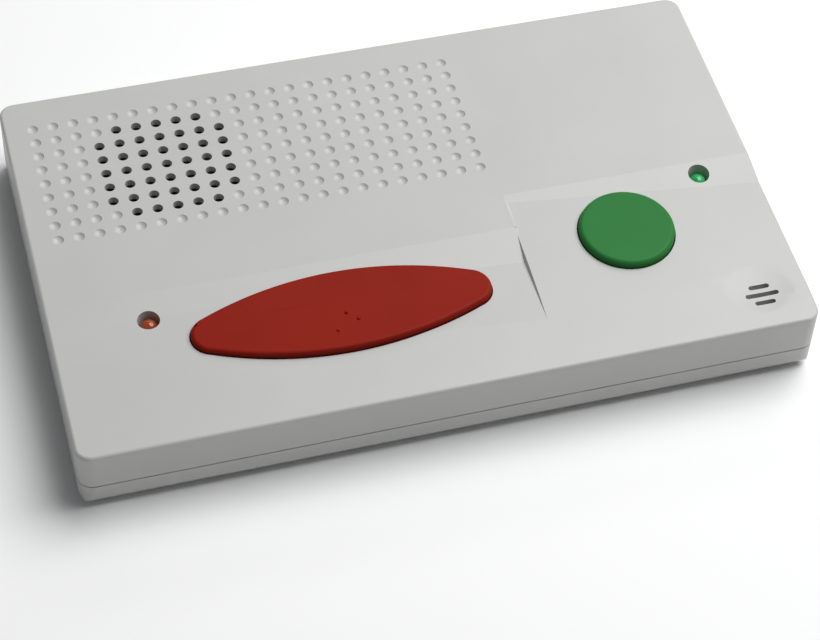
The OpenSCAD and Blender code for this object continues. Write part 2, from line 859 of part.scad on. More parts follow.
module help_button() {
  dish_half_w = help_half_w + 1;
  dish_r = (dish_half_w ^ 2 + help_dish ^ 2) / (2 * help_dish);
  dish_z = help_top_z - help_dish;
  color("firebrick") {
    difference() {
      union() {
        oval_block(0, flange_top_z - flange_t, help_top_z);
        oval_block(flange_out, flange_top_z - flange_t, flange_top_z);
      }
      oval_block(-cap_wall, flange_top_z - flange_t - 1, help_roof_z);
      // Shallow dish along the button
      translate([help_x, help_y, dish_z + dish_r])
        rotate([0, 90, 0])
          cylinder(r = dish_r, h = far, center = true, $fn = 1440);
    }
    // Small raised dots
    for (p = dot_places)
      translate([help_x + p.x, help_y + p.y, dish_z])
        sphere(dot_r, $fn = 32);
    // One post presses the switch and two hold the springs
    translate([help_x, help_y, 0]) {
      disc(help_plunger_r, plunger_top_z, help_roof_z);
      for (side = [-1, 1])
        translate([side * help_spring_x, 0, 0])
          disc(help_spring_r - spring_wire_r - 0.9, plunger_top_z - 2, help_roof_z);
    }
  }
}

module help_button_springs() {
  color("silver")
    for (side = [-1, 1])
      translate([help_x + side * help_spring_x, help_y, 0])
        coil_spring(help_spring_r, board_top_z, help_roof_z);
}

module switch_body(w, plunger_r) {
  difference() {
    translate([-w / 2, -w / 2, 0])
      cube([w, w, switch_h]);
    translate([0, 0, plunger_top_z - plunger_l - board_top_z - button_travel - 0.1])
      cylinder(r = plunger_r + running, h = switch_h, $fn = 64);
  }
  // Feet soldered to the board
  for (sx = [-1, 1], sy = [-1, 1])
    translate([sx * (w / 2 + 0.3), sy * w / 3, 0.4])
      cube([0.8, 0.8, 0.8], center = true);
}

module help_switch_body() {
  color("darkslategray")
    at_board(help_x, help_y)
      switch_body(help_switch_w, help_plunger_r);
}

module help_switch_plunger() {
  color("ivory")
    translate([help_x, help_y, 0])
      disc(help_plunger_r, plunger_top_z - plunger_l, plunger_top_z);
}

module cancel_button() {
  base_z = flange_top_z - flange_t;
  color("seagreen")
    translate([cancel_x, cancel_y, 0]) {
      difference() {
        union() {
          translate([0, 0, base_z])
            rotate_extrude($fn = 180)
              cap_section(cancel_r, cancel_top_z - base_z, cap_edge_r);
          disc(cancel_r + flange_out, base_z, flange_top_z);
        }
        disc(cancel_r - cap_wall, base_z - 1, cancel_roof_z);
      }
      disc(cancel_spring_r - spring_wire_r - 3, plunger_top_z, cancel_roof_z);
    }
}

module cancel_button_spring() {
  color("silver")
    translate([cancel_x, cancel_y, 0])
      coil_spring(cancel_spring_r, board_top_z, cancel_roof_z);
}

module cancel_switch_body() {
  color("darkslategray")
    at_board(cancel_x, cancel_y)
      switch_body(cancel_switch_w, cancel_plunger_r);
}

module cancel_switch_plunger() {
  color("ivory")
    translate([cancel_x, cancel_y, 0])
      disc(cancel_plunger_r, plunger_top_z - plunger_l, plunger_top_z);
}

// ---- Lights ----

module light() {
  difference() {
    union() {
      disc(led_flange_r, led_base_z, led_base_z + 1);
      disc(led_d / 2, led_base_z, led_top_z - led_d / 2);
      translate([0, 0, led_top_z - led_d / 2])
        sphere(led_d / 2, $fn = 64);
    }
    // Flat on the flange that marks the short lead
    translate([led_d / 2, -far / 2, led_base_z - 1])
      cube([5, far, 2]);
  }
}

module alarm_light() {
  color("orangered")
    translate([alarm_led_x, alarm_led_y, 0])
      light();
}

module power_light() {
  color("limegreen")
    translate([power_led_x, power_led_y, 0])
      light();
}

module at_lights() {
  for (p = [[alarm_led_x, alarm_led_y], [power_led_x, power_led_y]])
    translate([p.x, p.y, 0])
      children();
}

module lead_holes(r, z0, z1) {
  for (side = [-1, 1])
    translate([side * lead_pitch / 2, 0, 0])
      disc(r, z0, z1);
}

module light_spacers() {
  color("white")
    at_lights()
      difference() {
        disc(led_d / 2, board_top_z, led_base_z);
        lead_holes(lead_r + fit, board_top_z - 1, led_base_z + 1);
      }
}

module light_leads() {
  color("silver")
    at_lights()
      lead_holes(lead_r, board_z - 1.2, led_base_z);
}

// ---- Loudspeaker ----

module at_speaker() {
  translate([speaker_x, speaker_y, 0])
    children();
}

module speaker_gasket() {
  color("dimgray")
    at_speaker()
      ring(flange_r, gasket_in_r, speaker_top_z, rear_roof_z);
}

module speaker_frame() {
  color("darkgray")
    at_speaker()
      difference() {
        rotate_extrude($fn = 120)
          polygon([
            [flange_r, speaker_top_z], [gasket_in_r, speaker_top_z], [gasket_in_r, ledge_z],
            [ledge_in_r, ledge_z], [basket_foot_r - 1.2, basket_z + 1.1], [gap_out_r, basket_z + 1.1],
            [gap_out_r, basket_z], [basket_foot_r, basket_z], [basket_r, speaker_flange_z],
            [flange_r, speaker_flange_z]]);
        // Windows in the basket
        for (a = [45 : 90 : 315])
          rotate([0, 0, a])
            translate([basket_foot_r + 1.4, -5, basket_z + 1.6])
              cube([basket_r, 10, basket_h - 3.2]);
      }
}

module speaker_surround() {
  roll_x = cone_out_r + surround_roll;
  color("dimgray")
    at_speaker()
      translate([0, 0, ledge_z])
        rotate_extrude($fn = 120) {
          // Flat lips that are glued to the cone and to the frame
          translate([cone_out_r - cone_rim, 0])
            square([cone_rim + surround_t, surround_t]);
          translate([roll_x + surround_roll - surround_t, 0])
            square([gasket_in_r - 0.1 - roll_x - surround_roll + surround_t, surround_t]);
          difference() {
            translate([roll_x, 0]) circle(surround_roll, $fn = 48);
            translate([roll_x, 0]) circle(surround_roll - surround_t, $fn = 48);
            translate([0, -far]) square([far, far]);
          }
        }
}

module speaker_cone() {
  neck_r = coil_r + coil_t;
  color("lightgray")
    at_speaker()
      rotate_extrude($fn = 120)
        polygon([
          [cone_out_r, ledge_z], [cone_out_r - cone_rim, ledge_z], [neck_r, cone_foot_z + cone_t],
          [neck_r, cone_foot_z], [cone_out_r - cone_rim + 0.2, ledge_z - cone_t],
          [cone_out_r, ledge_z - cone_t]]);
}

// The cap's rim stands on the slope of the cone
module speaker_dust_cap() {
  dome_r = 9;
  rim_r = coil_r + coil_t + 0.8;
  slope = (ledge_z - cone_foot_z - cone_t) / (cone_out_r - cone_rim - coil_r - coil_t);
  rim_z = cone_foot_z + cone_t + 0.8 * slope;
  color("gray")
    at_speaker()
      intersection() {
        translate([0, 0, rim_z - sqrt(dome_r * dome_r - rim_r * rim_r)])
          difference() {
            sphere(dome_r, $fn = 96);
            sphere(dome_r - 0.4, $fn = 96);
          }
        disc(dome_r, rim_z, speaker_top_z);
      }
}

module speaker_voice_coil() {
  color("chocolate")
    at_speaker()
      ring(coil_r + coil_t - 0.02, coil_r, basket_z - 2.4, cone_foot_z + cone_t);
}

module speaker_magnet() {
  color("dimgray")
    at_speaker()
      ring(magnet_d / 2, coil_r + coil_t + 1.4, magnet_z, basket_z - eps);
}

module speaker_yoke() {
  color("silver")
    at_speaker() {
      disc(magnet_d / 2, magnet_z - yoke_t, magnet_z);
      disc(coil_r - 0.5, magnet_z - eps, basket_z + pot_plate_t);
    }
}

module at_clips() {
  for (a = clip_angles)
    translate([speaker_x, speaker_y, 0])
      rotate([0, 0, a])
        children();
}

module speaker_clips() {
  color("silver")
    at_clips()
      difference() {
        translate([flange_r - 1.8, -3.5, speaker_flange_z - clip_t])
          cube([clip_r - flange_r + 1.8 + 3, 7, clip_t]);
        translate([clip_r, 0, 0])
          disc(1.3, speaker_flange_z - clip_t - 1, speaker_flange_z + 1);
      }
}

module speaker_screws() {
  color("silver")
    at_clips()
      translate([clip_r, 0, 0]) {
        disc(1.9, speaker_flange_z - clip_t - 1.2, speaker_flange_z - clip_t);
        disc(1, speaker_flange_z - clip_t - eps, speaker_flange_z + 1.6);
      }
}

// ---- Microphone ----

module microphone_capsule() {
  color("silver")
    translate([mic_x, mic_y, 0])
      difference() {
        disc(mic_d / 2, mic_roof_z - 1 - mic_h, mic_roof_z - 1);
        disc(1, mic_roof_z - 1.5, mic_roof_z);
      }
}

module microphone_boot() {
  color("dimgray")
    translate([mic_x, mic_y, 0])
      difference() {
        disc(boot_r, mic_roof_z - boot_h, mic_roof_z);
        disc(mic_d / 2, mic_roof_z - boot_h + 0.4, mic_roof_z - 1);
        disc(mic_d / 2 - 0.8, mic_roof_z - 1.5, mic_roof_z + 1);
        for (side = [-1, 1])
          translate([side * lead_pitch / 2, 0, 0])
            disc(lead_r + fit, 0, mic_roof_z - boot_h + 1);
      }
}

module microphone_leads() {
  color("silver")
    translate([mic_x, mic_y, 0])
      lead_holes(lead_r, board_z - 1.2, mic_roof_z - 1 - mic_h);
}

// ---- Main board and what is on it ----

module main_board() {
  color("darkgreen")
    difference() {
      union() {
        translate([-board_side_x, board_front_y, board_z])
          cube([2 * board_side_x, board_step_y - board_front_y, board_t]);
        translate([board_step_x, board_front_y, board_z])
          cube([board_side_x - board_step_x, board_rear_y - board_front_y, board_t]);
      }
      for (p = screw_places)
        translate([p.x, p.y, 0])
          disc(post_r + 0.8, 0, board_top_z + 1);
      for (p = board_screw_places)
        translate([p.x, p.y, 0])
          disc(board_screw_r + 0.3, 0, board_top_z + 1);
      at_lights()
        lead_holes(lead_r + fit, 0, board_top_z + 1);
      translate([mic_x, mic_y, 0])
        lead_holes(lead_r + fit, 0, board_top_z + 1);
    }
}

module board_screws() {
  color("silver")
    for (p = board_screw_places)
      translate([p.x, p.y, 0])
        difference() {
          union() {
            disc(2.2, board_top_z, board_top_z + 1.5);
            disc(board_screw_r, board_z - 3.6, board_top_z + eps);
          }
          for (a = [0, 90])
            rotate([0, 0, a])
              translate([-1.3, -0.3, board_top_z + 0.7])
                cube([2.6, 0.6, 2]);
        }
}

module microcontroller() {
  color("black")
    laid_out(36, -14) {
      chip([12, 12, 1.4], 11, 1);
      rotate([0, 0, 90]) chip([12, 12, 1.4], 11, 1);
    }
}

module memory_chip() {
  color("black")
    laid_out(36, -32)
      chip([7.5, 5.3, 1.6], 4, 1.27);
}

module line_interface_chip() {
  color("black")
    laid_out(74, 18)
      chip([10.3, 7.5, 2.2], 8, 1.27);
}

module speaker_amplifier() {
  color("black")
    laid_out(-82, -40)
      chip([5, 4, 1.5], 4, 1.27);
}

module voltage_regulator() {
  color("black")
    laid_out(89, 24) {
      translate([-3.3, -3, 0]) cube([6.6, 6, 2.3]);
      translate([-2.7, 3 - eps, 0]) cube([5.4, 2.2, 0.6]);
      for (side = [-1, 1])
        translate([side * 2.3 - 0.4, -5, 0]) cube([0.8, 2.1, 0.6]);
    }
}

module crystal() {
  color("silver")
    laid_out(22, -8)
      linear_extrude(3.6) {
        square([6.4, 4.6], center = true);
        for (side = [-1, 1])
          translate([side * 3.2, 0])
            circle(2.3, $fn = 48);
      }
}

module electrolytic_capacitors() {
  color("midnightblue")
    for (c = [[84, 36, 4, 9], [75.5, 36, 3.15, 9], [-93, -28, 3.15, 5], [50, -8, 3.15, 6]])
      laid_out(c.x, c.y)
        difference() {
          cylinder(r = c[2], h = c[3], $fn = 64);
          // Vent score
          for (a = [0, 90])
            rotate([0, 0, a])
              translate([-c[2] * 0.6, -0.15, c[3] - 0.2])
                cube([c[2] * 1.2, 0.3, 1]);
        }
}

module surge_varistor() {
  color("royalblue")
    laid_out(66, 44)
      translate([0, 0, 4.6])
        rotate([90, 0, 0]) {
          cylinder(r = 3.8, h = 2.6, center = true, $fn = 64);
          for (side = [-1, 1])
            translate([side * 2.5, -2.3, 0])
              cube([0.6, 4.6, 0.6], center = true);
        }
}

module line_transformer_core() {
  color("dimgray")
    laid_out(56, 34)
      difference() {
        translate([-8, -4, 1]) cube([16, 8, 9]);
        for (side = [-1, 1])
          translate([side * 4.2 - 1.8, -5, 2.6]) cube([3.6, 10, 5.8]);
      }
}

module line_transformer_coil() {
  gap = 0.1;
  color("peru")
    laid_out(56, 34)
      difference() {
        translate([-6 + gap, -6.5, 2.6 + gap]) cube([12 - 2 * gap, 13, 5.8 - 2 * gap]);
        translate([-2.4 - gap, -4 - gap, 0]) cube([4.8 + 2 * gap, 8 + 2 * gap, 9]);
      }
  // Bobbin feet
  color("peru")
    laid_out(56, 34)
      for (side = [-1, 1])
        translate([-5, side * 5.5 - 0.8, 0])
          cube([10, 1.6, 2.7 + eps]);
}

module line_relays() {
  color("gold")
    for (y = [0, 10])
      laid_out(90, 2 + y)
        translate([-7.5, -3.7, 0.3]) {
          cube([15, 7.4, 9.5]);
          for (x = [1.2, 12.8], s = [0.6, 6])
            translate([x, s, -0.3]) cube([1, 0.8, 0.4]);
        }
}

module radio_board() {
  color("navy")
    at_board(radio_x, radio_y)
      translate([-11, -8, 0]) cube([22, 16, 1]);
}

module radio_shield() {
  color("silver")
    at_board(radio_x, radio_y)
      translate([-8, -6, 1])
        difference() {
          cube([14, 12, 2.4]);
          translate([0.3, 0.3, -1]) cube([13.4, 11.4, 3.1]);
        }
}

// A quarter wave wire that leaves the radio board and runs along the front wall
module radio_aerial() {
  start = [radio_x - 9.5, radio_y - 4, board_top_z + 1];
  color("goldenrod")
    wire([start, start + [0, 0, 5.5], start + [-6, -5, 5.5], start + [-20, -5, 5.5], start + [-20, -5, 1]], 0.5);
}

// ---- Sockets and switch on the rear wall ----

module power_jack() {
  color("dimgray")
    difference() {
      translate([jack_x - jack_w / 2, jack_front_y - jack_l, board_top_z])
        cube([jack_w, jack_l, jack_h]);
      translate([jack_x, jack_front_y + 1, jack_z])
        rotate([90, 0, 0])
          cylinder(r = jack_bore_d / 2, h = jack_bore_l + 1, $fn = 64);
    }
}

module power_jack_pin() {
  color("silver")
    translate([jack_x, jack_front_y - 1, jack_z])
      rotate([90, 0, 0])
        cylinder(r = jack_pin_d / 2, h = jack_bore_l - 1, $fn = 48);
}

module telephone_socket(x) {
  translate([x - socket_w / 2, socket_front_y - socket_l, board_top_z])
    difference() {
      cube([socket_w, socket_l, socket_h]);
      translate([(socket_w - socket_mouth_w) / 2, socket_l - socket_mouth_l, socket_mouth_z - board_top_z])
        cube([socket_mouth_w, socket_mouth_l + 1, socket_mouth_h]);
      // Notch for the plug's catch
      translate([(socket_w - 4.2) / 2, socket_l - socket_mouth_l, 0.8])
        cube([4.2, socket_mouth_l + 1, 2]);
    }
}

module line_socket() {
  color("black")
    telephone_socket(line_socket_x);
}

module phone_socket() {
  color("black")
    telephone_socket(phone_socket_x);
}

// Four sprung wires slope down into each telephone socket from its roof
module socket_contacts() {
  color("gold")
    for (x = [phone_socket_x, line_socket_x], i = [-1.5 : 1 : 1.5])
      translate([x + i * 1.02, socket_front_y - socket_l + 3.5, socket_mouth_z + socket_mouth_h - 1.4])
        cube([0.4, 7.2, 1.4]);
}

module power_switch_body() {
  slot_l = knob_w + power_switch_travel + 0.6;
  color("dimgray")
    translate([power_switch_x, switch_front_y - switch_body.y, board_top_z])
      difference() {
        translate([-switch_body.x / 2, 0, 0]) cube(switch_body);
        translate([-slot_l / 2, switch_body.y - 2.4, knob_z - board_top_z - knob_h / 2 - fit])
          cube([slot_l, 4, knob_h + 2 * fit]);
      }
}

module power_switch_knob() {
  left = power_switch_x - power_switch_travel / 2 - knob_w / 2;
  front = switch_front_y - 2.2;
  color("ivory")
    translate([left, front, knob_z - knob_h / 2])
      difference() {
        cube([knob_w, body_d / 2 - 0.15 - front, knob_h]);
        for (i = [1 : 3])
          translate([i * knob_w / 4 - 0.15, body_d / 2 - 0.5 - front, -1])
            cube([0.3, 1, knob_h + 2]);
      }
}

// ---- Battery ----

module at_cells() {
  for (i = [0 : cell_count - 1])
    translate([battery_x + (i - (cell_count - 1) / 2) * cell_pitch, battery_y, cell_z])
      children();
}

module battery_cells() {
  color("mediumseagreen")
    at_cells()
      rotate([90, 0, 0]) {
        cylinder(r = cell_d / 2, h = cell_l - 1.2, center = true, $fn = 96);
        cylinder(r = cell_d / 4, h = cell_l, center = true, $fn = 48);
      }
}

// Nickel strips join neighbouring cells at alternate ends, and a tab closes each end of the chain
module battery_links() {
  half = (cell_count - 1) / 2;
  color("silver") {
    for (i = [0 : cell_count - 2])
      translate([
        battery_x + (i + 0.5 - half) * cell_pitch,
        battery_y + (i % 2 == 0 ? 1 : -1) * (cell_l + link_t) / 2,
        cell_z])
        cube([cell_pitch + 5, link_t, 4], center = true);
    for (side = [-1, 1])
      translate([battery_x + side * half * cell_pitch, tab_y, cell_z + 1])
        cube([5, link_t, 6], center = true);
  }
}

module header_block() {
  difference() {
    translate([-header.x / 2, -header.y / 2, 0]) cube(header);
    for (side = [-1, 1])
      translate([side * header_pitch / 2 - 0.7, -header.y / 2 - 1, 2.2]) cube([1.4, 1.6, 1.2]);
  }
}

module battery_header() {
  color("white")
    at_board(battery_header_x, battery_header_y)
      header_block();
}

module speaker_header() {
  color("white")
    at_board(speaker_header_x, speaker_header_y)
      header_block();
}

// The leads run in front of the cells, out through the side of the bay and over to their header
module battery_leads() {
  run_y = tab_y - link_t / 2 - wire_r;
  out_x = battery_x + bay_w / 2 + bay_wall + 1.5;
  header_top = board_top_z + header.z;
  for (side = [-1, 1]) {
    run_z = cell_z + 2.2 - side * 0.8;
    plug_x = battery_header_x - side * header_pitch / 2;
    color(side < 0 ? "black" : "red")
      wire([
        [battery_x + side * (cell_count - 1) / 2 * cell_pitch - 2, run_y, run_z],
        [out_x, run_y, run_z],
        [plug_x, battery_header_y, header_top + 3.5 - side * 1.5],
        [plug_x, battery_header_y, header_top]], wire_r);
  }
}

module speaker_leads() {
  header_top = board_top_z + header.z;
  for (side = [-1, 1]) {
    plug_x = speaker_header_x + side * header_pitch / 2;
    color(side < 0 ? "black" : "red")
      wire([
        [speaker_x + side * 2, speaker_y - basket_foot_r - 0.5, basket_z - 2],
        [speaker_x + side * 2, speaker_y - flange_r - 2, basket_z - 2],
        [plug_x, speaker_header_y, header_top + 2.6],
        [plug_x, speaker_header_y, header_top]], wire_r);
  }
}

top_case();
bottom_case();
rubber_feet();
case_screws();
battery_door();
help_button();
help_button_springs();
help_switch_body();
help_switch_plunger();
cancel_button();
cancel_button_spring();
cancel_switch_body();
cancel_switch_plunger();
alarm_light();
power_light();
light_spacers();
light_leads();
speaker_gasket();
speaker_frame();
speaker_surround();
speaker_cone();
speaker_dust_cap();
speaker_voice_coil();
speaker_magnet();
speaker_yoke();
speaker_clips();
speaker_screws();
microphone_capsule();
microphone_boot();
microphone_leads();
main_board();
board_screws();
microcontroller();
memory_chip();
line_interface_chip();
speaker_amplifier();
voltage_regulator();
crystal();
electrolytic_capacitors();
surge_varistor();
line_transformer_core();
line_transformer_coil();
line_relays();
radio_board();
radio_shield();
radio_aerial();
power_jack();
power_jack_pin();
line_socket();
phone_socket();
socket_contacts();
power_switch_body();
power_switch_knob();
battery_cells();
battery_links();
battery_header();
battery_leads();
speaker_header();
speaker_leads();
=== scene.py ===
import bmesh
import bpy
from mathutils import Matrix, Vector


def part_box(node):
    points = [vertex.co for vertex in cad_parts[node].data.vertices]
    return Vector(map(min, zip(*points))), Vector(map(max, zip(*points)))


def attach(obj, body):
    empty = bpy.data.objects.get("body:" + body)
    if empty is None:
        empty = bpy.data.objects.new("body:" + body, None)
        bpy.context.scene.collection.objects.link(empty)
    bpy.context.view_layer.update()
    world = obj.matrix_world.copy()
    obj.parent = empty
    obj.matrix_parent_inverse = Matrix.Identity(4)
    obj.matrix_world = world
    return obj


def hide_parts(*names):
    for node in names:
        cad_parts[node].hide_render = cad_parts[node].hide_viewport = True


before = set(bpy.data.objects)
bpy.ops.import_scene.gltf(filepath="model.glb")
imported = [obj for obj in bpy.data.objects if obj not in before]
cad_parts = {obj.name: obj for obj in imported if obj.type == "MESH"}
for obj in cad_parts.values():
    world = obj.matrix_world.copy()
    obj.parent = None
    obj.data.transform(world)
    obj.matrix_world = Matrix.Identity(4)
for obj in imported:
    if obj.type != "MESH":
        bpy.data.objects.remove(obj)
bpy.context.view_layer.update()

# ---- Table, light and camera ----
# The unit lies on a pale seamless table. A large soft light hangs to its right and a long, lower one
# stands behind it, so the top is bright, the front and left walls are shaded and the slopes gleam.


def plain_material(name):
    material = bpy.data.materials.new(name)
    material.use_nodes = True
    tree = material.node_tree
    place = tree.nodes.new("ShaderNodeTexCoord").outputs["Object"]
    return material, tree, tree.nodes["Principled BSDF"], place


def noise(tree, place, scale, detail=2.0, rough=0.5):
    grain = tree.nodes.new("ShaderNodeTexNoise")
    grain.inputs["Scale"].default_value = scale
    grain.inputs["Detail"].default_value = detail
    grain.inputs["Roughness"].default_value = rough
    tree.links.new(place, grain.inputs["Vector"])
    return grain.outputs["Fac"]


def shades(tree, pattern, dark, light, target, low=0.3, high=0.7):
    ramp = tree.nodes.new("ShaderNodeValToRGB")
    ramp.color_ramp.elements[0].position = low
    ramp.color_ramp.elements[1].position = high
    ramp.color_ramp.elements[0].color = (*dark, 1)
    ramp.color_ramp.elements[1].color = (*light, 1)
    tree.links.new(pattern, ramp.inputs["Fac"])
    tree.links.new(ramp.outputs["Color"], target)


table_half = 3.0
table_mesh = bpy.data.meshes.new("table_top")
corners = [(x * table_half, y * table_half, 0) for x, y in ((-1, -1), (1, -1), (1, 1), (-1, 1))]
table_mesh.from_pydata(corners, [], [(0, 1, 2, 3)])
table_top = bpy.data.objects.new("table_top", table_mesh)
bpy.context.scene.collection.objects.link(table_top)
table_paint, tree, shader, place = plain_material("table_paint")
table_grain = noise(tree, place, 3.0)
shades(tree, table_grain, (0.955, 0.955, 0.955), (0.97, 0.97, 0.97), shader.inputs["Base Color"])
shader.inputs["Roughness"].default_value = 0.9
shader.inputs["Specular IOR Level"].default_value = 0.1
table_mesh.materials.append(table_paint)


def soft_light(name, place, aim, size, power):
    lamp = bpy.data.lights.new(name, "AREA")
    lamp.shape = "RECTANGLE"
    lamp.size, lamp.size_y = size
    lamp.energy = power
    light = bpy.data.objects.new(name, lamp)
    facing = (Vector(place) - Vector(aim)).to_track_quat("Z", "Y")
    light.matrix_world = Matrix.Translation(place) @ facing.to_matrix().to_4x4()
    bpy.context.scene.collection.objects.link(light)


soft_light("overhead_softbox", (0.62, 0.20, 1.15), (0, 0, 0), (1.1, 1.1), 20.8)
soft_light("rear_softbox", (0.43, 1.44, 0.97), (0, 0, 0), (1.3, 0.30), 2.6)

world = bpy.data.worlds.new("studio_room")
bpy.context.scene.world = world
world.use_nodes = True
world.node_tree.nodes["Background"].inputs["Color"].default_value = (0.95, 0.97, 1.0, 1)
world.node_tree.nodes["Background"].inputs["Strength"].default_value = 0.13
bpy.context.scene.view_settings.view_transform = "Standard"

# The lens was solved from the case's edges, so the photograph's frame is a part of a wider picture
focal_px = 2513.27
picture_px = 820
centre_offset_px = (-90, -40)
camera_data = bpy.data.cameras.new("studio_camera")
camera_data.sensor_width = 36
camera_data.lens = focal_px * camera_data.sensor_width / picture_px
camera_data.shift_x = centre_offset_px[0] / picture_px
camera_data.shift_y = centre_offset_px[1] / picture_px
camera_data.clip_start = 0.05
studio_camera = bpy.data.objects.new("studio_camera", camera_data)
across = Vector((0.95862, -0.27851, 0.05900))
down = Vector((-0.17722, -0.74597, -0.64196))
forward = Vector((0.22280, 0.60494, -0.76446))
turn = Matrix((across, -down, -forward)).transposed()
studio_camera.matrix_world = Matrix.Translation((-0.14027, -0.46970, 0.57593)) @ turn.to_4x4()
bpy.context.scene.collection.objects.link(studio_camera)
bpy.context.scene.camera = studio_camera

# ---- Bottom shell ----
# The lower half of the case is moulded in light grey plastic with a fine satin texture from the mould.
# It carries the board, the sockets and the battery, and stands 1 mm clear of the desk.


def spread(tree, pattern, low, high, target):
    ranged = tree.nodes.new("ShaderNodeMapRange")
    ranged.inputs["From Min"].default_value = 0.3
    ranged.inputs["From Max"].default_value = 0.7
    ranged.inputs["To Min"].default_value = low
    ranged.inputs["To Max"].default_value = high
    tree.links.new(pattern, ranged.inputs["Value"])
    tree.links.new(ranged.outputs["Result"], target)


def relief(tree, pattern, depth, strength, shader):
    bump = tree.nodes.new("ShaderNodeBump")
    bump.inputs["Distance"].default_value = depth
    bump.inputs["Strength"].default_value = strength
    tree.links.new(pattern, bump.inputs["Height"])
    tree.links.new(bump.outputs["Normal"], shader.inputs["Normal"])


def finish_as(material, *nodes):
    for node in nodes:
        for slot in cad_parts[node].material_slots:
            slot.material = material


def moulded_plastic(
        name, dark, light, gloss=(0.38, 0.46), grain=2600, depth=0.000012, strength=0.25, mottle=35, sheen=0.5):
    material, tree, shader, place = plain_material(name)
    fine = noise(tree, place, grain, 1.0)
    shades(tree, noise(tree, place, mottle, 3.0), dark, light, shader.inputs["Base Color"])
    spread(tree, fine, gloss[0], gloss[1], shader.inputs["Roughness"])
    relief(tree, fine, depth, strength, shader)
    shader.inputs["Specular IOR Level"].default_value = sheen
    return material


case_plastic = moulded_plastic("case_plastic", (0.500, 0.502, 0.490), (0.520, 0.522, 0.508))
finish_as(case_plastic, "bottom_case")

# ---- Rubber feet ----
# Four discs of soft dark rubber are pressed into shallow round seats under the case.
# Their skin is matte and slightly open, and picks up dust.
foot_rubber = moulded_plastic(
    "foot_rubber", (0.030, 0.030, 0.031), (0.060, 0.060, 0.059), (0.70, 0.90), 1400, 0.00004, 0.5, 220)
foot_rubber.node_tree.nodes["Principled BSDF"].inputs["Specular IOR Level"].default_value = 0.3
finish_as(foot_rubber, "rubber_feet")

# ---- Battery and its door ----
# Four rechargeable cells in shrink sleeve lie side by side under a hinged door of the case's plastic.
# Welded nickel strips join the cells, and two insulated leads go to a header on the board.


def drawn_metal(
        name, dark, light, gloss=(0.25, 0.40), grain=900, depth=0.000006, stretch=(1, 1, 1), strength=0.3):
    material, tree, shader, place = plain_material(name)
    turned = tree.nodes.new("ShaderNodeMapping")
    turned.inputs["Scale"].default_value = stretch
    tree.links.new(place, turned.inputs["Vector"])
    marks = noise(tree, turned.outputs["Vector"], grain, 3.0)
    shades(tree, marks, dark, light, shader.inputs["Base Color"])
    spread(tree, marks, gloss[0], gloss[1], shader.inputs["Roughness"])
    relief(tree, marks, depth, strength, shader)
    shader.inputs["Metallic"].default_value = 1.0
    return material


finish_as(case_plastic, "battery_door")
cell_sleeve = moulded_plastic(
    "cell_sleeve", (0.035, 0.200, 0.120), (0.050, 0.260, 0.165), (0.22, 0.34), 500, 0.00003, 0.3, 60)
cell_sleeve.node_tree.nodes["Principled BSDF"].inputs["Coat Weight"].default_value = 0.4
finish_as(cell_sleeve, "battery_cells")
nickel_strip = drawn_metal(
    "nickel_strip", (0.52, 0.50, 0.46), (0.70, 0.68, 0.63), (0.22, 0.38), 700, 0.000006, (0.15, 1, 1))
finish_as(nickel_strip, "battery_links")
wire_insulation = moulded_plastic(
    "wire_insulation", (0.300, 0.014, 0.012), (0.360, 0.020, 0.016), (0.35, 0.48), 900, 0.00001, 0.2, 90)
finish_as(wire_insulation, "battery_leads", "speaker_leads")
header_nylon = moulded_plastic(
    "header_nylon", (0.700, 0.690, 0.630), (0.760, 0.750, 0.690), (0.45, 0.55), 1500, 0.00001, 0.25, 70)
shader = header_nylon.node_tree.nodes["Principled BSDF"]
shader.inputs["Subsurface Weight"].default_value = 0.15
shader.inputs["Subsurface Radius"].default_value = (0.002, 0.002, 0.0015)
finish_as(header_nylon, "battery_header", "speaker_header")

# ---- Main board and radio board ----
# Both boards are glass laminate under green solder mask, and hairline copper tracks show through it.
# The mask is glossy, and darker where there is no copper below.
board_laminate, tree, shader, place = plain_material("board_laminate")
tracks = tree.nodes.new("ShaderNodeTexBrick")
tracks.inputs["Scale"].default_value = 95
tracks.inputs["Mortar Size"].default_value = 0.035
tracks.inputs["Mortar Smooth"].default_value = 0.2
tracks.inputs["Color1"].default_value = (0.006, 0.085, 0.030, 1)
tracks.inputs["Color2"].default_value = (0.009, 0.105, 0.038, 1)
tracks.inputs["Mortar"].default_value = (0.030, 0.200, 0.075, 1)
tree.links.new(place, tracks.inputs["Vector"])
tree.links.new(tracks.outputs["Color"], shader.inputs["Base Color"])
relief(tree, tracks.outputs["Fac"], 0.00003, 0.4, shader)
spread(tree, noise(tree, place, 300), 0.18, 0.30, shader.inputs["Roughness"])
finish_as(board_laminate, "main_board", "radio_board")

# ---- Solder joints and small surface parts ----
# Rows of tiny resistors and capacitors are soldered to the board beside the chips that they serve,
# and the legs of the sockets, relays and headers end in small domes of solder under the board.


def tree_input(tree, name, kind, value):
    socket = tree.interface.new_socket(name=name, in_out="INPUT", socket_type=kind)
    socket.default_value = value
    return socket


